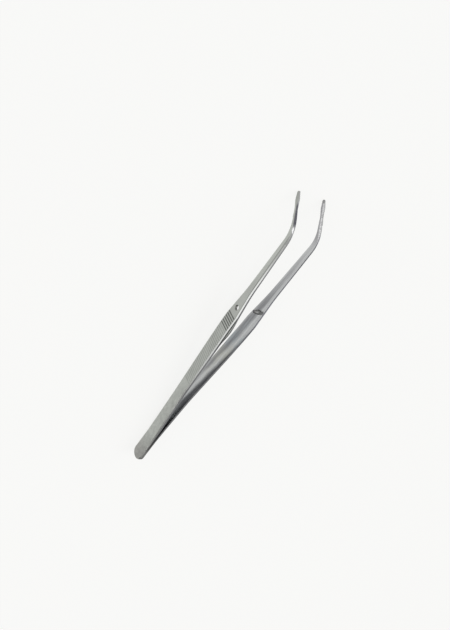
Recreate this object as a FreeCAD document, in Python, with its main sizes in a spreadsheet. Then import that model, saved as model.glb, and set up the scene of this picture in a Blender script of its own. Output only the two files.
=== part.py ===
import FreeCAD, Part
import math
import os
import re
import Sketcher

# Angled tweezers with a guide pin. Two spring arms are joined face to face at the butt.
# The arms are modelled along X with their mid-plane at Y = 0, and the tips bend down.
# At the end they are tilted to lie on edge, on the two tips and the butt, with +Z up.

doc = FreeCAD.newDocument("tweezers")

# Driving sizes in millimetres and degrees
SIZES = {
    # Side view: how the arms spread and how thick they are
    "weld_length": 16.0,
    "weld_bend_radius": 150.0,
    "grip_position": 88.4,
    "grip_half_gap": 4.80,
    "grip_bend_radius": 170.0,
    "tip_half_gap": 6.55,
    "tip_bend_radius": 80.0,
    "butt_thickness": 1.05,
    "weld_thickness": 1.30,
    "grip_thickness": 1.28,
    "beak_thickness": 0.90,
    "tip_thickness": 0.50,
    # Face view: the outline of each arm
    "butt_width": 7.50,
    "butt_rise": 0.30,
    "butt_radius": 3.50,
    "waist_position": 44.00,
    "waist_width": 6.08,
    "waist_drop": 0.15,
    "waist_radius": 200.0,
    "handle_position": 73.4,
    "handle_width": 6.90,
    "handle_radius": 80.0,
    "shoulder_position": 92.80,
    "shoulder_radius": 14.0,
    "neck_position": 106.9,
    "neck_width": 4.18,
    "neck_radius": 60.0,
    "bend_position": 137.7,
    "bend_angle": 42.4,
    "bend_radius": 12.0,
    "bend_width": 2.6,
    "beak_length": 15.8,
    "beak_start": 5.9,
    "beak_waist_position": 9.0,
    "beak_waist_width": 1.30,
    "beak_waist_radius": 12.0,
    "spoon_position": 12.7,
    "spoon_width": 2.05,
    "spoon_radius": 3.0,
    "tip_width": 1.10,
    "tip_radius": 0.50,
    # Edges
    "bevel_size": 0.40,
    "beak_edge_radius": 0.30,
    # Thumb ledge on the upper edge of the grip, measured back from the shoulder
    "ledge_setback": 4.30,
    "ledge_length": 14.0,
    "ledge_reach": 1.25,
    "ledge_thickness": 0.48,
    "ledge_radius": 22.0,
    # Finger grooves across the outer faces
    "coarse_start": 88.0,
    "coarse_count": 6,
    "coarse_depth": 0.22,
    "coarse_opening": 0.70,
    "fine_start": 54.68,
    "fine_count": 27,
    "fine_depth": 0.10,
    "fine_opening": 0.45,
    "groove_pitch": 1.234,
    "groove_margin": 0.15,
    # Fine teeth inside the tips
    "tooth_start": 8.2,
    "tooth_pitch": 0.45,
    "tooth_count": 15,
    "tooth_depth": 0.12,
    "tooth_opening": 0.24,
    # Guide pin and its hole
    "pin_position": 98.3,
    "pin_diameter": 2.2,
    "pin_height": 2.7,
    "pin_nose_diameter": 1.30,
    "pin_nose_radius": 0.30,
    "shank_diameter": 1.5,
    "shank_recess": 0.05,
    "seat_depth": 0.15,
    "hole_clearance": 0.06,
}

sheet = doc.addObject("Spreadsheet::Sheet", "Sizes")
for row, (name, value) in enumerate(SIZES.items(), start=1):
    sheet.set("A%d" % row, name)
    sheet.set("B%d" % row, str(value))
    sheet.setAlias("B%d" % row, name)
doc.recompute()

NAMES = re.compile(r"\b(" + "|".join(sorted(SIZES, key=len, reverse=True)) + r")\b")


def bound(text):
    """The expression for a size or a sum of sizes, as the document's objects read it."""
    return NAMES.sub(r"Sizes.\1", text)


def amount(text):
    """The value of such an expression now."""
    value = sheet.evalExpression(bound(text))
    return float(getattr(value, "Value", value))


def bind(target, prop, text):
    target.setExpression(prop, bound(text))


# The side view's straight stretches: from the weld to the grip, and from the grip to the bend.
# Each is a start along X and off the mid-plane, and a slope, for the inner and the outer face.
SPRING_INNER = ("weld_length", "0", "(grip_half_gap / (grip_position - weld_length))")
SPRING_OUTER = ("weld_length", "weld_thickness",
                "((grip_half_gap + grip_thickness - weld_thickness) / (grip_position - weld_length))")
TAPER_INNER = ("grip_position", "grip_half_gap",
               "((tip_half_gap - grip_half_gap) / (bend_position - grip_position))")
TAPER_OUTER = ("grip_position", "grip_half_gap + grip_thickness",
               "((tip_half_gap + beak_thickness - grip_half_gap - grip_thickness)"
               " / (bend_position - grip_position))")


def off_plane(stretch, x):
    """The distance from the mid-plane of one of these stretches at a place along X."""
    start, level, slope = stretch
    return "(%s + %s * (%s - %s))" % (level, slope, x, start)


def beak_point(along, across):
    """A place in the face view, along the bent beak from the bend and across it, upper side plus."""
    x = "bend_position + (%s) * cos(bend_angle) + (%s) * sin(bend_angle)" % (along, across)
    z = "(%s) * cos(bend_angle) - (%s) * sin(bend_angle)" % (across, along)
    return x, z


def plane_of(body, role):
    return next(f for f in body.Origin.OriginFeatures if f.Role == role)


def new_sketch(body, name, role, offset=None):
    """A sketch on one of the body's own planes. offset is an expression for its distance off it."""
    sketch = body.newObject("Sketcher::SketchObject", name)
    sketch.AttachmentSupport = [(plane_of(body, role), "")]
    sketch.MapMode = "FlatFace"
    if offset:
        bind(sketch, "AttachmentOffset.Base.z", offset)
    return sketch


def place_point(sketch, geometry, position, x, y):
    """Ties a point of the sketch to two expressions, measured from the sketch's origin."""
    for kind, text in (("DistanceX", x), ("DistanceY", y)):
        index = sketch.addConstraint(Sketcher.Constraint(kind, -1, 1, geometry, position, amount(text)))
        bind(sketch, "Constraints[%d]" % index, text)


def rounded_outline(sketch, corners):
    """A closed outline of lines through the corners, with a tangent arc at each corner that has a radius.

    Each corner is (x, y, radius) in expressions, and radius is None at a sharp one.
    """
    count = len(corners)
    spots = [FreeCAD.Vector(amount(x), amount(y), 0) for x, y, radius in corners]
    cuts = []
    for i, (x, y, radius) in enumerate(corners):
        back = (spots[i - 1] - spots[i]).normalize()
        ahead = (spots[(i + 1) % count] - spots[i]).normalize()
        half_angle = back.getAngle(ahead) / 2
        reach = amount(radius) / math.tan(half_angle) if radius else 0.0
        cuts.append((spots[i] + back * reach, spots[i] + ahead * reach, half_angle, back, ahead))
    lines = []
    for i in range(count):
        start, end = cuts[i][1], cuts[(i + 1) % count][0]
        lines.append(sketch.addGeometry(Part.LineSegment(start, end), False))
    for i, (x, y, radius) in enumerate(corners):
        before, after = lines[i - 1], lines[i]
        if radius is None:
            sketch.addConstraint(Sketcher.Constraint("Coincident", before, 2, after, 1))
            place_point(sketch, after, 1, x, y)
            continue
        first, last, half_angle, back, ahead = cuts[i]
        size = amount(radius)
        centre = spots[i] + (back + ahead).normalize() * (size / math.sin(half_angle))
        turns_left = back.cross(ahead).z < 0
        start, end = (first, last) if turns_left else (last, first)
        angles = [math.atan2(p.y - centre.y, p.x - centre.x) for p in (start, end)]
        circle = Part.Circle(centre, FreeCAD.Vector(0, 0, 1), size)
        arc = sketch.addGeometry(Part.ArcOfCircle(circle, angles[0], angles[1]), False)
        corner = sketch.addGeometry(Part.Point(spots[i]), True)
        arc_start, arc_end = (1, 2) if turns_left else (2, 1)
        sketch.addConstraint(Sketcher.Constraint("Tangent", before, 2, arc, arc_start))
        sketch.addConstraint(Sketcher.Constraint("Tangent", arc, arc_end, after, 1))
        index = sketch.addConstraint(Sketcher.Constraint("Radius", arc, size))
        bind(sketch, "Constraints[%d]" % index, radius)
        place_point(sketch, corner, 1, x, y)
        sketch.addConstraint(Sketcher.Constraint("PointOnObject", corner, 1, before))
        sketch.addConstraint(Sketcher.Constraint("PointOnObject", corner, 1, after))
    return sketch


def cut_through(body, name, sketch, length):
    """A pocket of the sketch's area, to both sides of its plane."""
    pocket = body.newObject("PartDesign::Pocket", name)
    pocket.Profile = sketch
    pocket.Midplane = True
    bind(pocket, "Length", length)
    doc.recompute()
    return pocket


def repeat(body, name, feature, sketch, axis, pitch, copies):
    """A row of copies of a feature along a construction line of its sketch."""
    row = body.newObject("PartDesign::LinearPattern", name)
    row.Originals = [feature]
    row.Direction = (sketch, [axis])
    row.Mode = "Spacing"
    bind(row, "Offset", pitch)
    bind(row, "Occurrences", copies)
    body.Tip = row
    doc.recompute()
    return row


def notch_row(body, name, role, start, along, depth, opening, side, reach, pitch, copies):
    """A V-shaped groove cut across a face and repeated along it.

    start and along are the first groove's place and the row's direction in the sketch's plane.
    side is 1 where the face looks to the sketch's positive side. reach is (length, offset).
    """
    length, offset = reach
    sketch = new_sketch(body, name + "_profile", role, offset)
    (x, y), (dx, dy) = start, along
    # The cutting triangle stands as far out of the face as the groove is deep
    over, half = depth, opening
    corners = []
    for shift, drop in (("-" + half, over), (half, over), ("0", "-" + depth)):
        corners.append((
            "%s + (%s) * (%s) - %d * (%s) * (%s)" % (x, shift, dx, side, drop, dy),
            "%s + (%s) * (%s) + %d * (%s) * (%s)" % (y, shift, dy, side, drop, dx),
            None,
        ))
    rounded_outline(sketch, corners)
    direction = FreeCAD.Vector(amount(dx), amount(dy), 0)
    root = FreeCAD.Vector(amount(x), amount(y), 0)
    line = sketch.addGeometry(Part.LineSegment(root, root + direction * 5), True)
    place_point(sketch, line, 1, x, y)
    place_point(sketch, line, 2, "%s + 5 * (%s)" % (x, dx), "%s + 5 * (%s)" % (y, dy))
    pocket = body.newObject("PartDesign::Pocket", name)
    pocket.Profile = sketch
    bind(pocket, "Length", length)
    doc.recompute()
    return repeat(body, name + "_row", pocket, sketch, "Axis0", pitch, copies)


def side_profile(body, side):
    """The arm seen from above: a thin strip that leaves the mid-plane at the weld."""
    sign = "%d * " % side
    far = "bend_position + beak_length * cos(bend_angle) + tip_width"
    inner = [
        ("0", "0", None),
        ("weld_length", "0", "weld_bend_radius"),
        ("grip_position", "grip_half_gap", "grip_bend_radius"),
        ("bend_position", "tip_half_gap", "tip_bend_radius"),
        (far, "tip_half_gap", None),
    ]
    outer = [
        (far, "tip_half_gap + tip_thickness", None),
        ("bend_position", "tip_half_gap + beak_thickness", "tip_bend_radius"),
        ("grip_position", "grip_half_gap + grip_thickness", "grip_bend_radius"),
        ("weld_length", "weld_thickness", "weld_bend_radius"),
        ("0", "butt_thickness", None),
    ]
    corners = [(x, sign + "(" + y + ")", radius) for x, y, radius in inner + outer]
    return rounded_outline(new_sketch(body, "side_profile", "XY_Plane"), corners)


# The thumb ledge keeps its place behind the shoulder
LEDGE = "(shoulder_position - ledge_setback)"


def blade_corners(ledge):
    """The outline in the face view, from the beak's lower side round the butt to its upper side."""
    handle = "handle_width / 2"

    def edge(up):
        return [
            ("bend_position %s bend_width / 2 * tan(bend_angle / 2)" % up, up + "bend_width / 2",
             "bend_radius %s bend_width / 2" % up),
            ("neck_position", up + "neck_width / 2", "neck_radius"),
            ("shoulder_position", up + handle, "shoulder_radius"),
            ("handle_position", up + handle, "handle_radius"),
            ("waist_position", up + "waist_width / 2 - waist_drop", "waist_radius"),
            ("0", up + "butt_width / 2 + butt_rise", "butt_radius"),
        ]

    lower, upper = edge("-"), edge("+")[::-1]
    if ledge:
        place = [corner[0] for corner in upper].index("shoulder_position")
        upper[place - 1:place + 1] = [
            (LEDGE + " - ledge_length / 2", handle, "ledge_radius"),
            (LEDGE, handle + " + ledge_reach", "ledge_radius"),
            (LEDGE + " + ledge_length / 2", handle, None),
        ]
    return lower + upper


def width_at_start():
    """Half the beak's width where its rounded edges begin, on the line from the bend to the waist."""
    return "(bend_width + (beak_waist_width - bend_width) * beak_start / beak_waist_position) / 2"


def trim_outline(body, name, inside):
    """Cuts away all that lies outside the outline, from a frame larger than the arm."""
    sketch = new_sketch(body, name + "_outline", "XZ_Plane")
    rounded_outline(sketch, inside)
    low, high = "-(beak_length + 2 * handle_width)", "beak_length + 2 * handle_width"
    left, right = "-handle_width", "bend_position + 2 * beak_length"
    frame = [(left, low), (right, low), (right, high), (left, high)]
    rounded_outline(sketch, [(x, z, None) for x, z in frame])
    return cut_through(body, name, sketch, "10 * handle_width")


def outer_rim(shape, side, wanted):
    """The names of the edges that border the outer face, among those that wanted() accepts.

    The ledge looks outwards too, but lies beyond the band's upper side and isn't part of its rim.
    """
    seen = []
    for face in shape.Faces:
        centre = face.CenterOfMass
        u, v = face.Surface.parameter(centre)
        outward = face.normalAt(u, v).y * side > 0.9 and abs(centre.y) > 0.01
        if outward and centre.z < amount("handle_width") / 2:
            seen += face.Edges
    alone = [e for e in seen if sum(1 for other in seen if other.isSame(e)) == 1]
    names = []
    for number, edge in enumerate(shape.Edges, start=1):
        if any(edge.isSame(e) for e in alone) and wanted(edge.CenterOfMass):
            names.append("Edge%d" % number)
    return names


def along_beak(point):
    """How far a place lies along the beak, measured from the bend."""
    turn = math.radians(amount("bend_angle"))
    return (point.x - amount("bend_position")) * math.cos(turn) - point.z * math.sin(turn)


def make_arm(name, side, ledge):
    """One arm, on the side +1 or -1 of the mid-plane, with or without a thumb ledge."""
    body = doc.addObject("PartDesign::Body", name)
    sign = "%d * " % side

    strip = body.newObject("PartDesign::Pad", "strip")
    strip.Profile = side_profile(body, side)
    strip.Midplane = True
    bind(strip, "Length", "2 * (beak_length + handle_width)")
    doc.recompute()

    # The beak stays a plain block until the bevels of the blade are made
    block_half, block_end = "0.6 * handle_width", "beak_length + handle_width / 2"
    start_half = width_at_start()
    block = [
        beak_point("beak_start", start_half) + (None,),
        beak_point("beak_start", block_half) + (None,),
        beak_point(block_end, block_half) + (None,),
        beak_point(block_end, "-" + block_half) + (None,),
        beak_point("beak_start", "-" + block_half) + (None,),
        beak_point("beak_start", "-(" + start_half + ")") + (None,),
    ]
    blade = trim_outline(body, "blade", blade_corners(ledge) + block)
    if ledge:
        blade = thin_ledge(body, sign)

    limit = amount("beak_start") - 0.01
    bevel = body.newObject("PartDesign::Chamfer", "bevel")
    bevel.Base = (blade, outer_rim(blade.Shape, side, lambda p: along_beak(p) < limit))
    bind(bevel, "Size", "bevel_size")
    doc.recompute()

    shape_beak(body, start_half)
    tip = body.Tip
    rounding = body.newObject("PartDesign::Fillet", "beak_edges")
    rounding.Base = (tip, outer_rim(tip.Shape, side, lambda p: along_beak(p) > limit + 0.02))
    bind(rounding, "Radius", "beak_edge_radius")
    doc.recompute()

    cut_grooves(body, side)
    cut_teeth(body, side)
    return body


def thin_ledge(body, sign):
    """Cuts the outer side of the ledge away, so that the band beside it keeps its straight edge."""
    sketch = new_sketch(body, "ledge_profile", "XY_Plane", "handle_width / 2")
    x0, x1 = LEDGE + " - 0.75 * ledge_length", LEDGE + " + 0.75 * ledge_length"
    rounded_outline(sketch, [
        (x0, sign + "(%s + ledge_thickness)" % off_plane(SPRING_INNER, "(" + x0 + ")"), None),
        ("grip_position", sign + "(grip_half_gap + ledge_thickness)", None),
        (x1, sign + "(%s + ledge_thickness)" % off_plane(TAPER_INNER, "(" + x1 + ")"), None),
        (x1, sign + "(tip_half_gap + 3 * grip_thickness)", None),
        (x0, sign + "(tip_half_gap + 3 * grip_thickness)", None),
    ])
    above = body.newObject("PartDesign::Pocket", "ledge")
    above.Profile = sketch
    above.Reversed = True
    bind(above, "Length", "2 * ledge_reach")
    doc.recompute()
    return above


def shape_beak(body, start_half):
    """Cuts the block beyond the blade to the beak: a narrow waist, a spoon and a rounded end."""
    around = "handle_width"
    sketch = new_sketch(body, "beak_outline", "XZ_Plane")
    path = [
        ("beak_start", start_half, None),
        ("beak_start", around, None),
        ("beak_length + handle_width", around, None),
        ("beak_length + handle_width", "-" + around, None),
        ("beak_start", "-" + around, None),
        ("beak_start", "-(" + start_half + ")", None),
        ("beak_waist_position", "-beak_waist_width / 2", "beak_waist_radius"),
        ("spoon_position", "-spoon_width / 2", "spoon_radius"),
        ("beak_length", "-tip_width / 2", "tip_radius"),
        ("beak_length", "tip_width / 2", "tip_radius"),
        ("spoon_position", "spoon_width / 2", "spoon_radius"),
        ("beak_waist_position", "beak_waist_width / 2", "beak_waist_radius"),
    ]
    rounded_outline(sketch, [beak_point(along, across) + (radius,) for along, across, radius in path])
    cut_through(body, "beak", sketch, "10 * handle_width")


def cut_grooves(body, side):
    """Finger grooves across the outer face: shallow ones along the spring, deeper ones at the grip."""
    sign = "%d * " % side
    top = "handle_width / 2 - bevel_size - groove_margin"
    for name, stretch in (("fine", SPRING_OUTER), ("coarse", TAPER_OUTER)):
        x = name + "_start"
        along = ("cos(atan(%s))" % stretch[2], sign + "sin(atan(%s))" % stretch[2])
        start = (x, sign + off_plane(stretch, x))
        notch_row(body, name + "_groove", "XY_Plane", start, along, name + "_depth", name + "_opening",
                  side, ("handle_width", top), "groove_pitch", name + "_count")


def cut_teeth(body, side):
    """Fine teeth across the inner face of the beak, from behind the spoon to the tip."""
    sketch = new_sketch(body, "tooth_profile", "XZ_Plane", "-%d * (tip_half_gap + tooth_depth)" % side)
    first, last = "tooth_start", "(tooth_start + tooth_opening)"
    low, high = "-spoon_width", "spoon_width"
    corners = [(first, low), (last, low), (last, high), (first, high)]
    rounded_outline(sketch, [beak_point(along, across) + (None,) for along, across in corners])
    line = sketch.addGeometry(Part.LineSegment(
        FreeCAD.Vector(*[amount(v) for v in beak_point("0", "0")], 0),
        FreeCAD.Vector(*[amount(v) for v in beak_point("beak_length", "0")], 0)), True)
    place_point(sketch, line, 1, *beak_point("0", "0"))
    place_point(sketch, line, 2, *beak_point("beak_length", "0"))
    tooth = body.newObject("PartDesign::Pocket", "tooth")
    tooth.Profile = sketch
    tooth.Reversed = side > 0
    bind(tooth, "Length", "2 * tooth_depth")
    doc.recompute()
    repeat(body, "tooth_row", tooth, sketch, "Axis0", "tooth_pitch", "tooth_count")


def round_hole(body, name, diameter, start=None, length=None):
    """A round hole at the guide pin's place. Without a start it goes right through."""
    sketch = new_sketch(body, name + "_circle", "XZ_Plane", start)
    centre = FreeCAD.Vector(amount("pin_position"), 0, 0)
    normal = FreeCAD.Vector(0, 0, 1)
    circle = sketch.addGeometry(Part.Circle(centre, normal, amount(diameter) / 2), False)
    sketch.addConstraint(Sketcher.Constraint("PointOnObject", circle, 3, -1))
    ties = (("DistanceX", (-1, 1, circle, 3), "pin_position"), ("Diameter", (circle,), diameter))
    for kind, what, text in ties:
        index = sketch.addConstraint(Sketcher.Constraint(kind, *what, amount(text)))
        bind(sketch, "Constraints[%d]" % index, text)
    if start is None:
        return cut_through(body, name, sketch, "10 * handle_width")
    pocket = body.newObject("PartDesign::Pocket", name)
    pocket.Profile = sketch
    pocket.Reversed = True
    bind(pocket, "Length", length)
    doc.recompute()
    return pocket


# The pin stands on a flat seat, sunk a little into the inner face of its arm
SEAT = "(%s + seat_depth)" % off_plane(TAPER_INNER, "pin_position")
OUTER = off_plane(TAPER_OUTER, "pin_position")


def make_pin(name):
    """The guide pin: a shank through the arm, a shoulder on the seat and a cone towards the other arm."""
    body = doc.addObject("PartDesign::Body", name)
    sketch = new_sketch(body, "pin_profile", "XY_Plane")
    axis_x = "pin_position"
    top = "-(%s - seat_depth - pin_height)" % SEAT
    rounded_outline(sketch, [
        (axis_x, top, None),
        (axis_x + " + pin_nose_diameter / 2", top, "pin_nose_radius"),
        (axis_x + " + pin_diameter / 2", "-(%s - seat_depth)" % SEAT, None),
        (axis_x + " + pin_diameter / 2", "-" + SEAT, None),
        (axis_x + " + shank_diameter / 2", "-" + SEAT, None),
        (axis_x + " + shank_diameter / 2", "-(%s - shank_recess)" % OUTER, None),
        (axis_x, "-(%s - shank_recess)" % OUTER, None),
    ])
    line = sketch.addGeometry(Part.LineSegment(
        FreeCAD.Vector(amount(axis_x), 0, 0), FreeCAD.Vector(amount(axis_x), amount(SEAT), 0)), True)
    place_point(sketch, line, 1, axis_x, "0")
    place_point(sketch, line, 2, axis_x, SEAT)
    turned = body.newObject("PartDesign::Revolution", "turned")
    turned.Profile = sketch
    turned.ReferenceAxis = (sketch, ["Axis0"])
    turned.Angle = 360
    doc.recompute()
    return body


def lowest(points, half):
    """The lowest of the points on one half of the length, -1 towards the butt and 1 towards the tips."""
    middle = amount("bend_position") / 2
    return min((p for p in points if (p.x - middle) * half > 0), key=lambda p: p.z)


def lie_on_table(bodies):
    """Tilts the tweezers so that the butt and both tips touch Z = 0, and centres them over the origin."""
    across = FreeCAD.Vector(0, 1, 0)
    points = bodies[0].Shape.tessellate(0.005)[0]
    tilt = 0.0
    for _ in range(4):
        turned = [FreeCAD.Rotation(across, tilt).multVec(p) for p in points]
        butt, tip = lowest(turned, -1), lowest(turned, 1)
        tilt += math.degrees(math.atan2(tip.z - butt.z, tip.x - butt.x))
    rotation = FreeCAD.Rotation(across, tilt)
    for body in bodies:
        body.Placement = FreeCAD.Placement(FreeCAD.Vector(), rotation)
    doc.recompute()
    box = FreeCAD.BoundBox()
    for body in bodies:
        box.add(body.Shape.optimalBoundingBox(False, False))
    shift = FreeCAD.Vector(-box.Center.x, -box.Center.y, -box.ZMin)
    for body in bodies:
        body.Placement = FreeCAD.Placement(shift, rotation)
    doc.recompute()
    print("tilt %.3f degrees, shift %.3f %.3f %.3f" % (tilt, shift.x, shift.y, shift.z))


def check(objects):
    """Stops unless every object of the document is up to date and each solid is valid."""
    for item in doc.Objects:
        if "Invalid" in item.State or "Error" in item.State:
            raise RuntimeError("%s is %s" % (item.Name, item.State))
    for item in objects:
        if item.Shape.isNull() or not item.Shape.isValid() or len(item.Shape.Solids) != 1:
            raise RuntimeError("%s is not one valid solid" % item.Label)


arm_with_hole = make_arm("arm_with_hole", 1, ledge=True)
round_hole(arm_with_hole, "guide_hole", "pin_diameter + 2 * hole_clearance")
arm_with_pin = make_arm("arm_with_pin", -1, ledge=False)
round_hole(arm_with_pin, "pin_bore", "shank_diameter")
round_hole(arm_with_pin, "pin_seat", "pin_diameter", "%s - 3 * seat_depth" % SEAT, "3 * seat_depth")
guide_pin = make_pin("guide_pin")
PIECES = (arm_with_hole, arm_with_pin, guide_pin)
lie_on_table(PIECES)
check(PIECES)

os.makedirs("parts", exist_ok=True)
for piece in PIECES:
    piece.Shape.exportStep("parts/%s.step" % piece.Label)
    print("%-14s %8.2f mm3" % (piece.Label, piece.Shape.Volume))
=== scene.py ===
import math

import bpy
from mathutils import Matrix, Vector

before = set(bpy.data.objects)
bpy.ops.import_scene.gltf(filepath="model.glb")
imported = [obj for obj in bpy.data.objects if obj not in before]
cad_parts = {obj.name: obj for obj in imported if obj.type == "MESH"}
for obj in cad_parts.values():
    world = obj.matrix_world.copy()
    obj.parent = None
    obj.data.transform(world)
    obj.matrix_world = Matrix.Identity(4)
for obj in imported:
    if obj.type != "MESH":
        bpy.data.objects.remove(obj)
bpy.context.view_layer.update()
print("frame loaded:", ", ".join(sorted(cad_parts)))

# The blade's own axes inside the row frame: the tweezers lie tilted on their tips
lie = {
    "tilt": -2.942,                 # degrees
    "shift": (-0.074940, 0.0, 0.003250),
    "millimetres": 1000,            # in a metre
}
tilt = math.radians(lie["tilt"])
alongBlade = Vector((math.cos(tilt), 0.0, -math.sin(tilt)))
acrossBlade = Vector((math.sin(tilt), 0.0, math.cos(tilt)))
buttEnd = Vector(lie["shift"])


class Wire:
    # a shader socket that can stand in a sum; numbers and other wires mix freely
    def __init__(self, shop, socket):
        self.shop, self.socket = shop, socket

    def sum(self, operation, *parts, clamp=False):
        settings = {"operation": operation, "use_clamp": clamp}
        return self.shop.node("ShaderNodeMath", settings, parts)

    def __add__(self, other):
        return self.sum("ADD", self, other)

    def __radd__(self, other):
        return self.sum("ADD", other, self)

    def __sub__(self, other):
        return self.sum("SUBTRACT", self, other)

    def __rsub__(self, other):
        return self.sum("SUBTRACT", other, self)

    def __mul__(self, other):
        return self.sum("MULTIPLY", self, other)

    def __rmul__(self, other):
        return self.sum("MULTIPLY", other, self)

    def __truediv__(self, other):
        return self.sum("DIVIDE", self, other)

    def __rtruediv__(self, other):
        return self.sum("DIVIDE", other, self)

    def __pow__(self, other):
        return self.sum("POWER", self, other)

    def __abs__(self):
        return self.sum("ABSOLUTE", self)

    def __neg__(self):
        return self.sum("MULTIPLY", self, -1.0)

    def clamped(self):
        return self.sum("ADD", self, 0.0, clamp=True)

    def rise(self, start, end):
        # 0 before start, 1 after end, smooth between
        settings = {"interpolation_type": "SMOOTHSTEP"}
        inputs = {"Value": self, "From Min": start, "From Max": end}
        return self.shop.node("ShaderNodeMapRange", settings, inputs)

    def fall(self, start, end):
        return 1 - self.rise(start, end)

    def within(self, start, end, soft):
        return self.rise(start - soft, start + soft) * self.fall(end - soft, end + soft)


class Workshop:
    # a material's or the world's node tree, emptied first
    def __init__(self, owner):
        owner.use_nodes = True
        self.tree = owner.node_tree
        self.tree.nodes.clear()

    def node(self, kind, settings=None, inputs=None, output=0):
        made = self.tree.nodes.new(kind)
        for name, value in (settings or {}).items():
            if name == "stops":
                self.setStops(made.color_ramp, value)
            else:
                setattr(made, name, value)
        pairs = inputs.items() if isinstance(inputs, dict) else enumerate(inputs or ())
        for name, value in pairs:
            socket = made.inputs[name]
            if isinstance(value, Wire):
                self.tree.links.new(value.socket, socket)
            elif hasattr(socket.default_value, "__len__") and hasattr(value, "__len__"):
                full = tuple(value) + (1.0,) * (len(socket.default_value) - len(value))
                socket.default_value = full
            else:
                socket.default_value = value
        return Wire(self, made.outputs[output]) if made.outputs else None

    def setStops(self, ramp, stops):
        while len(ramp.elements) < len(stops):
            ramp.elements.new(1.0)
        for element, (place, shade) in zip(ramp.elements, stops):
            element.position = place
            element.color = (shade, shade, shade, 1.0)

    def blend(self, factor, first, second):
        settings = {"data_type": "RGBA", "clamp_factor": True}
        return self.node("ShaderNodeMix", settings, {0: factor, 6: first, 7: second}, output=2)

    def scaled(self, colour, factor):
        inputs = {0: colour, "Scale": factor}
        return self.node("ShaderNodeVectorMath", {"operation": "SCALE"}, inputs)

    def dot(self, vector, direction, offset=0.0):
        settings = {"operation": "DOT_PRODUCT"}
        return self.node("ShaderNodeVectorMath", settings, (vector, tuple(direction)), "Value") + offset

    def vector(self, x, y, z):
        return self.node("ShaderNodeCombineXYZ", {}, (x, y, z))

    def noise(self, place, scale, detail, rough):
        inputs = {"Vector": place, "Scale": scale, "Detail": detail, "Roughness": rough}
        return self.node("ShaderNodeTexNoise", {}, inputs)

    def pattern(self, paces, texture, *places):
        # noise that changes at its own pace along each place; texture is scale, detail, roughness
        return self.noise(self.vector(*[place * pace for place, pace in zip(places, paces)]), *texture)

    def slice(self, paces, depth, texture, first, second):
        # the same over two places only
        return self.noise(self.vector(first * paces[0], second * paces[1], depth), *texture)

    def finish(self, surface):
        self.node("ShaderNodeOutputMaterial", {}, {"Surface": surface})

    def metal(self, inputs):
        self.finish(self.node("ShaderNodeBsdfPrincipled", {}, {"Metallic": 1.0, **inputs}))


def bladePlaces(shop, side):
    # millimetres along the blade, across it and off the middle plane, then how far the face leans
    # outwards, and how far towards the upper or lower rim
    place = shop.node("ShaderNodeTexCoord", output="Object")
    normal = shop.node("ShaderNodeNewGeometry", output="Normal")
    unit = lie["millimetres"]
    along = shop.dot(place, alongBlade * unit, -buttEnd.dot(alongBlade) * unit)
    across = shop.dot(place, acrossBlade * unit, -buttEnd.dot(acrossBlade) * unit)
    off = shop.dot(place, (0, side * unit, 0))
    lean = shop.dot(normal, (0, side, 0))
    rimward = abs(shop.dot(normal, acrossBlade))
    return along, across, off, lean, rimward


# half the arm's width at places along it, both in millimetres, and the most that each can be
width = {
    "halves": ((0, 4.05), (44, 2.89), (73.4, 3.45), (92.8, 3.45), (106.9, 2.09), (138, 1.3)),
    "longest": 150,
    "widest": 5,
}


def halfWidth(shop, along):
    stops = [(place / width["longest"], half / width["widest"]) for place, half in width["halves"]]
    ramp = shop.node("ShaderNodeValToRGB", {"stops": stops}, (along / width["longest"],))
    return ramp * width["widest"]


# The places below are millimetres along the blade from the butt, unless a note says otherwise.
# Two numbers are the start and end of a change, and a third is its softness at both ends.

facing = {
    "outer": (0.54, 0.74),          # how far a face leans outwards to count as outer
    "rimShare": 0.35,               # less for a face that leans to the rim as well
    "inner": (0.80, 0.95),
    "bevelLean": (0.45, 0.88, 0.05),
    "bevelRim": (0.35, 0.55),
    "bladeEnd": (136, 141),         # bevel and ledge end at the bend
}

grooves = {
    "pitch": 1.234,
    "coarse": (88.0, 6, 0.42, 0.34),  # first groove, how many, half width, how much light it keeps
    "fine": (54.68, 27, 0.30, 0.80),
    "floor": 0.35,                  # share of the half width that is fully dark
    "rowEdge": 0.08,
    "inset": (0.42, 0.62),          # in from the rim, where they end
}


def paintedGrooveShade(shop, along, start, count, half, keep):
    # 1 on the face and less in each groove of the row: painted shade in the grooves
    pitch = grooves["pitch"]
    turns = (along - start) / pitch + 0.5
    beside = abs(shop.node("ShaderNodeMath", {"operation": "FRACT"}, (turns,)) - 0.5) * pitch
    cut = beside.fall(half * grooves["floor"], half)
    row = along.within(start - pitch / 2, start + (count - 0.5) * pitch, grooves["rowEdge"])
    return 1 - cut * row * (1 - keep)


# The outer face: satin tones with grain, scratches and mottle, plus painted shade in the grooves, the
# crease and on the ledge, and a painted highlight on the neck's lower rim
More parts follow.
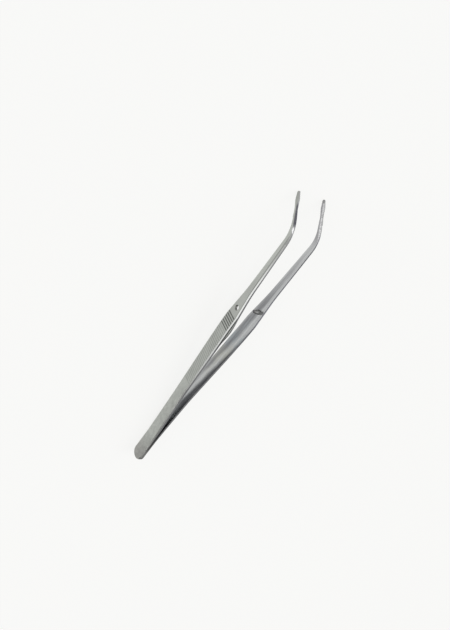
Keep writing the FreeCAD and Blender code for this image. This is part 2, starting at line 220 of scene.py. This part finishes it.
satinAndPaintedLight = {
    "butt": (0.315, 0.315, 0.30),   # darker at the butt
    "middle": (0.425, 0.44, 0.415),
    "neck": (0.485, 0.50, 0.475),
    "buttEnd": (2, 18),
    "neckStart": (78, 104),
    "creaseShade": (0.38, 0.74, 0.10),   # a dark line of painted shade beside the bevel, in from the rim
    "creaseStart": (55, 75),
    "creaseGrows": (98, 114),       # wider and deeper from here on
    "creaseWider": 0.30,
    "creaseDepth": 0.20,
    "creaseDeeper": 0.16,
    "upper": (-0.5, 0.5),           # across the blade
    "glint": (109, 124, 6),         # painted highlight along the lower rim of the neck
    "glintInset": (0.3, 1.0),
    "glintGain": 0.30,
    "shoulder": (92, 116, 4),
    "shoulderLoss": 0.07,
    "ledge": (0.02, 0.12),          # out from the rim; the ledge is painted darker, as shade
    "ledgeShade": 0.08,
    "worn": (40, 60),               # scratched and mottled behind here
    "scratchLine": (0.004, 0.020),
    "scratchSlant": ((0.12, 0.16), (0.8, 1.1), 11.0),
    "scratchLoss": 0.10,
    "slopeEnd": (40, 70),           # a little lighter towards the lower rim behind here
    "slope": 0.022,
    "cloudGain": 0.30,
    "grainGain": 0.26,
    "mottleGain": 0.7,
    "cloud": ((0.16, 0.30, 0.2), (1.0, 3.0, 0.55)),   # paces along, across and off, then the texture
    "mottle": ((0.5, 0.6, 0.2), (1.0, 4.0, 0.65)),
    "grain": ((2.2, 0.9, 0.9), (1.5, 3.0, 0.7)),
    "hatch": ((6.0, 0.5, 0.5), (1.2, 2.0, 0.6)),
}


def scratches(shop, along, across):
    # thin slanting lines, 1 on each
    (slow, slower), (fast, faster), depth = satinAndPaintedLight["scratchSlant"]
    slant = shop.vector(along * slow + across * slower, across * faster - along * fast, depth)
    return abs(shop.noise(slant, 1.0, 1.0, 0.5) - 0.5).fall(*satinAndPaintedLight["scratchLine"])


def outerFace(shop, along, across, off, inset, blade, cloud, grain):
    # clouded satin with fine grain, painted shade in the grooves and in a dark crease beside the bevel,
    # a painted highlight on the lower rim of the neck and painted shade on the ledge
    face = shop.blend(along.rise(*satinAndPaintedLight["buttEnd"]), satinAndPaintedLight["butt"], satinAndPaintedLight["middle"])
    face = shop.blend(along.rise(*satinAndPaintedLight["neckStart"]), face, satinAndPaintedLight["neck"])
    # painted shade in the grooves, stopping short of the rim
    shade = paintedGrooveShade(shop, along, *grooves["coarse"]) * paintedGrooveShade(shop, along, *grooves["fine"])
    shade = 1 - (1 - shade) * inset.rise(*grooves["inset"])

    # a painted dark line of shade beside the bevel on the upper side, wider and deeper towards the bend
    start, end, soft = satinAndPaintedLight["creaseShade"]
    grown = along.rise(*satinAndPaintedLight["creaseGrows"])
    upper = across.rise(*satinAndPaintedLight["upper"])
    creaseShade = inset.within(start, end + grown * satinAndPaintedLight["creaseWider"], soft)
    creaseShade = creaseShade * along.rise(*satinAndPaintedLight["creaseStart"]) * blade * upper
    shade = shade * (1 - creaseShade * (satinAndPaintedLight["creaseDepth"] + grown * satinAndPaintedLight["creaseDeeper"]))
    # a painted highlight along the lower rim of the neck
    glint = along.within(*satinAndPaintedLight["glint"]) * (1 - upper) * inset.fall(*satinAndPaintedLight["glintInset"])
    # the ledge is painted darker, as shade
    ledge = (-inset).rise(*satinAndPaintedLight["ledge"]) * blade
    shade = shade * (1 + glint * satinAndPaintedLight["glintGain"]) * (1 - ledge * satinAndPaintedLight["ledgeShade"])
    shade = shade * (1 - along.within(*satinAndPaintedLight["shoulder"]) * satinAndPaintedLight["shoulderLoss"])

    worn = along.fall(*satinAndPaintedLight["worn"])
    mottle = shop.pattern(*satinAndPaintedLight["mottle"], along, across, off) - 0.5
    shade = shade * (1 - scratches(shop, along, across) * worn * satinAndPaintedLight["scratchLoss"])
    spots = cloud * satinAndPaintedLight["cloudGain"] + grain * satinAndPaintedLight["grainGain"] + mottle * worn * satinAndPaintedLight["mottleGain"]
    slope = across * along.fall(*satinAndPaintedLight["slopeEnd"]) * satinAndPaintedLight["slope"]
    return shop.scaled(face, shade * (1 + spots) * (1 - slope))


# The bevel: painted lighter over the middle of the arm, where it mirrors the key lamp, and painted
# darker towards the butt and the bend, as shade
bevel = {
    "bright": (0.70, 0.71, 0.69),
    "bevelShaded": (0.66, 0.665, 0.63),
    "bevelLightStart": (48, 72),
    "bevelLightEnd": (112, 132),
    "bevelLightLoss": 0.45,
    "dimmer": (112, 128),
    "dimmerLoss": 0.42,
    "grainGain": 0.2,
}


def bevelEdge(shop, along, grain):
    # painted light along the middle of the bevel, painted shade towards the butt and the bend
    bevelLight = along.rise(*bevel["bevelLightStart"])
    bevelLight = bevelLight * (1 - along.rise(*bevel["bevelLightEnd"]) * bevel["bevelLightLoss"])
    edge = shop.blend(bevelLight, bevel["bevelShaded"], bevel["bright"])
    dimmer = along.rise(*bevel["dimmer"]) * bevel["dimmerLoss"]
    return shop.scaled(edge, 1 + grain * bevel["grainGain"] - dimmer)


# The polished inner face, painted with the long streaks that it mirrors. Places across it are -1 to 1.
mirror = {
    "dark": (0.105, 0.105, 0.118),
    "light": (0.53, 0.54, 0.545),
    "cool": (0.47, 0.535, 0.56),
    "warm": (0.535, 0.54, 0.48),
    "coolReach": (74, 94, 5),
    "coolShare": 0.5,
    "warmReach": (62, 78, 6),
    "warmShare": 0.6,
    "tint": ((0.09, 0.25), 7.0, (1.0, 2.0, 0.5)),     # painted tints of reflected colour: paces, slice, texture
    "tintEdge": (0.42, 0.60),
    "ridgeStart": 86.0,             # behind this the light ridge wanders across the face
    "ridgePlace": 0.48,
    "ridgeSlope": 0.0225,
    "ridgeFront": ((96, 110), 0.16),
    "wave": ((0.11, 0.5), 3.0, (1.0, 2.0, 0.5)),
    "waveGain": 0.7,
    "low": 0.36,                    # light beside the ridge, then what each change adds to it
    "lowRim": ((-1.0, -0.45), 0.30),
    "lowNeck": ((102, 117), 0.28),
    "lowFront": ((119, 133), 0.22),
    "up": (-0.62, 0.0),
    "down": (0.12, 0.85),
    "downEnd": (84, 96),
    "ridgeLight": 0.94,
    "farLight": 0.22,
    "streak": ((0.06, 2.4), 0.0, (1.6, 4.0, 0.6)),
    "streakGain": 0.8,
    "grainGain": 0.16,
    "deepEnd": (30, 42),            # painted lighter deep between the arms
    "deepShare": 0.85,
}


def innerLight(shop, along, place):
    # 0 to 1: the long soft streaks; place is -1 to 1 across the face
    wave = shop.slice(*mirror["wave"], along, place) - 0.5
    behind = along.sum("MAXIMUM", mirror["ridgeStart"] - along, 0.0)
    reach, shift = mirror["ridgeFront"]
    ridge = mirror["ridgePlace"] - behind * mirror["ridgeSlope"] + along.rise(*reach) * shift
    beside = place - ridge + wave * mirror["waveGain"]
    reach, gain = mirror["lowRim"]
    low = mirror["low"] + place.fall(*reach) * gain
    for reach, gain in (mirror["lowNeck"], mirror["lowFront"]):
        low = low + along.rise(*reach) * gain
    up = beside.rise(*mirror["up"])
    down = beside.rise(*mirror["down"]) * along.fall(*mirror["downEnd"])
    light = low * (1 - up) + mirror["ridgeLight"] * up * (1 - down) + mirror["farLight"] * down
    streak = shop.slice(*mirror["streak"], along, place) - 0.5
    return (light + streak * mirror["streakGain"]).clamped()


def innerFace(shop, along, across, half, grain):
    # painted cool and warm tints of reflected colour
    tint = shop.slice(*mirror["tint"], along, across).rise(*mirror["tintEdge"])
    cool = tint * along.within(*mirror["coolReach"]) * mirror["coolShare"]
    warm = along.within(*mirror["warmReach"]) * (1 - tint) * mirror["warmShare"]
    gleam = shop.blend(warm, shop.blend(cool, mirror["light"], mirror["cool"]), mirror["warm"])
    polished = shop.blend(innerLight(shop, along, across / half), mirror["dark"], gleam)
    # painted lighter deep between the arms
    deep = along.fall(*mirror["deepEnd"]) * mirror["deepShare"]
    polished = shop.blend(deep, polished, mirror["light"])
    return shop.scaled(polished, 1 + grain * mirror["grainGain"])


wall = {
    "plain": (0.50, 0.50, 0.505),
    "butt": (0.58, 0.575, 0.55),    # where the two arms lie together
    "buttEnd": (8, 20),
    "gapShade": (9, 24, 2),             # painted shade towards the joint between the arms
    "seamOff": (0.0, 1.1),          # off the middle plane
    "gapShadeDepth": 0.75,
    "pin": (0.27, 0.27, 0.295),     # the rim of the arm with the pin, painted dark for the dark surroundings it mirrors, and darker in front
    "pinStart": (62, 90),
    "pinFront": ((116, 128), 0.42),
    # painted shade on the rim of the arm with the hole, over the grip and the neck
    "gripLoss": ((76, 112, 7), 0.56),
    "neckLoss": ((114, 139, 5), 0.32),
}

# The beaks. Places are along the bent beak from the bend, unless a note says otherwise.
beak = {
    "bend": (137.7, 42.4),          # where the beak turns down, and by how many degrees
    "spoon": (0.38, 0.38, 0.375),
    "shadow": (0.13, 0.13, 0.145),
    "dark": (2.3, 10.9, 1.1),       # the stretch of painted shade on the rim of the left beak
    "darkUpper": (-0.5, 0.1),       # across the beak, on the rim
    "darkFace": (-0.1, 0.6),        # and on the outer face
    # the painted highlight where the left beak bends
    "shine": (-1.6, 1.8, 0.6),
    "shineOff": (6.94, 7.08),       # it stops short of the inner side, off the middle plane
    "shineLean": (0.80, 0.96),
    "shineUpper": (0.0, 0.2),
    "bendLoss": ((-3.0, 2.2, 0.8), 0.35),
    "spoonStart": (10.6, 12.4),
    "faceLoss": ((9.5, 12.0), 0.20),
    "pinSpoonStart": (1.0, 3.0),
    "pinRimEnd": (0.5, 3.0),
    "flank": (0.36, 0.36, 0.37),    # inside the beak of the arm with the pin, a darker painted reflection
    "flankStart": (-2.5, 1.5),
    # painted light on the upper half of the inside of that beak, broken by flecks
    "pale": (0.80, 0.80, 0.815),
    "paleUpper": (-0.40, 0.20),
    "fleck": ((1.7, 0.6), 0.0, (1.3, 1.5, 0.5)),
    "fleckEdge": (0.32, 0.62),
    "fleckShare": 0.80,
    "tip": (0.27, 0.27, 0.27),
    "tipStart": (13.6, 15.2),
}


def beakPlaces(along, across):
    # millimetres along the bent beak and across it, towards its upper side
    start, angle = beak["bend"]
    turn = math.radians(angle)
    run = (along - start) * math.cos(turn) - across * math.sin(turn)
    rise = (along - start) * math.sin(turn) + across * math.cos(turn)
    return run, rise


def rimWall(shop, along, off):
    rim = shop.blend(along.rise(*wall["buttEnd"]), wall["butt"], wall["plain"])
    # painted shade towards the joint between the arms
    gapShade = along.within(*wall["gapShade"]) * off.fall(*wall["seamOff"])
    return shop.scaled(rim, 1 - gapShade * wall["gapShadeDepth"])


def pinArmEnd(shop, along, run, rise, rim, polished):
    rim = shop.blend(run.rise(*beak["pinSpoonStart"]), rim, beak["spoon"])
    # painted dark reflection on the rim of the arm with the pin, darker in front
    reach, loss = wall["pinFront"]
    front = shop.scaled(wall["pin"], 1 - along.rise(*reach) * loss)
    rim = shop.blend(along.rise(*wall["pinStart"]) * run.fall(*beak["pinRimEnd"]), rim, front)
    fleck = shop.slice(*beak["fleck"], run, rise).rise(*beak["fleckEdge"])
    beyond = run.rise(*beak["flankStart"])
    share = (1 - beak["fleckShare"]) + fleck * beak["fleckShare"]
    # painted darker reflection inside the beak, then painted light on its upper half, broken by flecks
    polished = shop.blend(beyond, polished, beak["flank"])
    polished = shop.blend(beyond * rise.rise(*beak["paleUpper"]) * share, polished, beak["pale"])
    return rim, shop.blend(run.rise(*beak["tipStart"]), polished, beak["tip"])


def holeArmEnd(shop, along, run, rise, rim, face):
    # painted shade along the rim and outer face of the left beak
    dark = run.within(*beak["dark"])
    rim = shop.blend(dark * rise.rise(*beak["darkUpper"]), rim, beak["shadow"])
    # painted shade on the rim over the grip and the neck
    (grip, gripLoss), (neck, neckLoss) = wall["gripLoss"], wall["neckLoss"]
    rim = shop.scaled(rim, 1 - along.within(*grip) * gripLoss - along.within(*neck) * neckLoss)
    # painted shade on the rim at the bend
    bend, bendLoss = beak["bendLoss"]
    rim = shop.scaled(rim, 1 - run.within(*bend) * bendLoss)
    rim = shop.blend(run.rise(*beak["spoonStart"]), rim, beak["spoon"])
    reach, loss = beak["faceLoss"]
    face = shop.scaled(face, 1 - run.rise(*reach) * loss)
    return rim, shop.blend(dark * rise.rise(*beak["darkFace"]), face, beak["shadow"])


steel = {
    "rough": {"outer": 0.34, "bevel": 0.17, "wall": 0.24, "inner": 0.22},
    "cloudRough": 0.10,
    "relief": {"Strength": 0.10, "Distance": 0.00004},
    "grainRelief": 0.5,
    "paintedHighlight": (1.0, 1.0, 1.0),
    "boreShade": (0.19, 0.19, 0.18),
    "hole": (98.3, 1.26),           # place along the blade and radius
    "holeEdge": 0.04,
    "holeLean": (0.5, 0.8),         # the bore's own wall, not the faces round it
}


def armSteel(name, side):
    metal = bpy.data.materials.new(name)
    shop = Workshop(metal)
    along, across, off, lean, rimward = bladePlaces(shop, side)
    half = halfWidth(shop, along)
    inset = half - abs(across)      # how far in from the rim
    blade = along.fall(*facing["bladeEnd"])
    outer = (lean - rimward * facing["rimShare"]).rise(*facing["outer"])
    inner = (-lean).rise(*facing["inner"])
    bevelled = lean.within(*facing["bevelLean"]) * rimward.rise(*facing["bevelRim"]) * blade
    cloud = shop.pattern(*satinAndPaintedLight["cloud"], along, across, off) - 0.5
    grain = shop.pattern(*satinAndPaintedLight["grain"], along, across, off) - 0.5

    face = outerFace(shop, along, across, off, inset, blade, cloud, grain)
    polished = innerFace(shop, along, across, half, grain)
    rim = rimWall(shop, along, off)
    run, rise = beakPlaces(along, across)
    if side < 0:
        rim, polished = pinArmEnd(shop, along, run, rise, rim, polished)
    else:
        rim, face = holeArmEnd(shop, along, run, rise, rim, face)
    colour = shop.blend(outer, rim, face)
    colour = shop.blend(inner, colour, polished)
    colour = shop.blend(bevelled, colour, bevelEdge(shop, along, grain))
    if side > 0:
        # a painted white highlight where the left beak bends
        shine = run.within(*beak["shine"]) * off.rise(*beak["shineOff"]) * lean.fall(*beak["shineLean"])
        colour = shop.blend(shine * rise.rise(*beak["shineUpper"]), colour, steel["paintedHighlight"])
    # painted shade on the wall of the hole
    place, radius = steel["hole"]
    reach = ((along - place) ** 2 + across ** 2) ** 0.5
    boreShade = reach.fall(radius - steel["holeEdge"], radius + steel["holeEdge"])
    colour = shop.blend(boreShade * abs(lean).fall(*steel["holeLean"]), colour, steel["boreShade"])

    rough = steel["rough"]
    level = rough["wall"] + cloud * steel["cloudRough"]
    for mask, kind in ((outer, "outer"), (inner, "inner"), (bevelled, "bevel")):
        level = level + mask * (rough[kind] - rough["wall"])
    hatch = shop.pattern(*satinAndPaintedLight["hatch"], along, across, off)
    relief = {"Height": hatch * outer + grain * steel["grainRelief"], **steel["relief"]}
    bump = shop.node("ShaderNodeBump", {}, relief)
    shop.metal({"Base Color": colour, "Roughness": level, "Normal": bump})
    return metal


# The pin's tones hold painted light: painted dark flanks, a painted highlight halfway up the cone and
# painted shade on the nose, with random grain
pinToneAndPaintedLight = {
    "nose": (0.13, 0.13, 0.14),
    "noseLean": (0.45, 0.85),
    "flank": (0.24, 0.235, 0.225),
    "middle": (0.33, 0.33, 0.32),   # a painted highlight halfway up the cone
    "highlightBand": (-4.7, -3.5, 0.3),      # millimetres off the middle plane
    "grain": (1400.0, 3.0, 0.6),
    "grainGain": 0.4,
    "rough": 0.20,
    "grainRough": 0.1,
}


def pinSteel():
    metal = bpy.data.materials.new("pinSteel")
    shop = Workshop(metal)
    place = shop.node("ShaderNodeTexCoord", output="Object")
    normal = shop.node("ShaderNodeNewGeometry", output="Normal")
    # painted shade on the nose, where the cone faces +Y, and a painted highlight band halfway up
    nose = shop.dot(normal, (0, 1, 0)).rise(*pinToneAndPaintedLight["noseLean"])
    highlightBand = shop.dot(place, (0, lie["millimetres"], 0)).within(*pinToneAndPaintedLight["highlightBand"])
    grain = shop.noise(place, *pinToneAndPaintedLight["grain"]) - 0.5
    colour = shop.blend(highlightBand, pinToneAndPaintedLight["flank"], pinToneAndPaintedLight["middle"])
    colour = shop.blend(nose, colour, pinToneAndPaintedLight["nose"])
    colour = shop.scaled(colour, 1 + grain * pinToneAndPaintedLight["grainGain"])
    shop.metal({"Base Color": colour, "Roughness": pinToneAndPaintedLight["rough"] + grain * pinToneAndPaintedLight["grainRough"]})
    return metal


def dress(name, metal):
    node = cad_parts[name]
    node.data.materials.clear()
    node.data.materials.append(metal)


arms = {"arm_with_hole": 1, "arm_with_pin": -1}
for name, side in arms.items():
    dress(name, armSteel("satinSteel_" + name, side))
dress("guide_pin", pinSteel())
print("steel on", ", ".join(arms), "and guide_pin")


# Room: a pale floor, a soft sky with one dark side, and soft lamps
room = {
    "floorSize": 8.0,
    "floorShade": (0.93, 0.93, 0.92),
    "paperShade": (0.99, 0.99, 0.975),
    "paperShare": 0.80,
    "horizon": (0.939, 0.943, 0.930),  # behind the floor, as pale as it looks
    "sky": 0.98,
    "skyTint": (0.985, 0.99, 1.0),
    "dark": 0.20,
    "darkReach": (0.10, 0.78),      # towards -X, from the lit side to the dark end
}


def seen(shop):
    # 1 for what the camera sees, straight, mirrored or through glass
    total = 0
    for ray in ("Is Camera Ray", "Is Glossy Ray", "Is Transmission Ray"):
        total = shop.node("ShaderNodeLightPath", output=ray) + total
    return total.clamped()


bpy.ops.mesh.primitive_plane_add(size=room["floorSize"])
floor = bpy.context.object
floor.name = "floor"
paper = bpy.data.materials.new("paleFloor")
shop = Workshop(paper)
sheet = shop.node("ShaderNodeBsdfDiffuse", {}, {"Color": room["floorShade"]})
plain = shop.node("ShaderNodeEmission", {}, {"Color": room["paperShade"], "Strength": 1.0})
shop.finish(shop.node("ShaderNodeMixShader", {}, (seen(shop) * room["paperShare"], sheet, plain)))
floor.data.materials.append(paper)

world = bpy.data.worlds.new("studio")
bpy.context.scene.world = world
shop = Workshop(world)
direction = shop.node("ShaderNodeTexCoord", output="Generated")
away = shop.dot(direction, (-1, 0, 0)).rise(*room["darkReach"])
sky = room["sky"] - away * (room["sky"] - room["dark"])
straight = shop.node("ShaderNodeLightPath", output="Is Camera Ray")
tone = shop.blend(straight, shop.scaled(room["skyTint"], sky), room["horizon"])
glow = shop.node("ShaderNodeBackground", {}, {"Color": tone, "Strength": 1.0})
shop.node("ShaderNodeOutputWorld", {}, {"Surface": glow})

# direction from the object, distance, width and height, radiance
lamps = {
    "keyBox": ((-0.53, 0.61, 0.59), 0.8, (0.32, 0.30), 0.65),
    "bendBox": ((0.264, -0.668, 0.697), 0.8, (0.16, 0.16), 1.1),
}


def softbox(name, direction, distance, size, radiance):
    lamp = bpy.data.lights.new(name, "AREA")
    lamp.shape = "RECTANGLE"
    lamp.size, lamp.size_y = size
    lamp.energy = radiance * math.pi * size[0] * size[1]
    holder = bpy.data.objects.new(name, lamp)
    holder.location = Vector(direction).normalized() * distance
    holder.rotation_euler = Vector(direction).to_track_quat("Z", "Y").to_euler()
    bpy.context.scene.collection.objects.link(holder)


for name, values in lamps.items():
    softbox(name, *values)
print("room lit")


# The camera stands where the photograph was taken from, turned so that the tips point up
camera = {
    "place": (0.154865, 0.192965, 0.200009),
    "right": (0.502127, -0.779400, 0.374766),
    "up": (0.709076, 0.122900, -0.694422),
    "lens": 42.64,
    "sensor": 36.0,
    "shift": (0.01114, 0.05552),
    "nearest": 0.01,
}
view = bpy.data.cameras.new("camera")
view.lens = camera["lens"]
view.sensor_width = camera["sensor"]
view.shift_x, view.shift_y = camera["shift"]
view.clip_start = camera["nearest"]
holder = bpy.data.objects.new("camera", view)
right = Vector(camera["right"]).normalized()
back = right.cross(Vector(camera["up"])).normalized()
up = back.cross(right)
turn = Matrix((right, up, back)).transposed().to_4x4()
holder.matrix_world = Matrix.Translation(camera["place"]) @ turn
bpy.context.scene.collection.objects.link(holder)
bpy.context.scene.camera = holder
bpy.context.scene.view_settings.view_transform = "Standard"
print("camera placed")
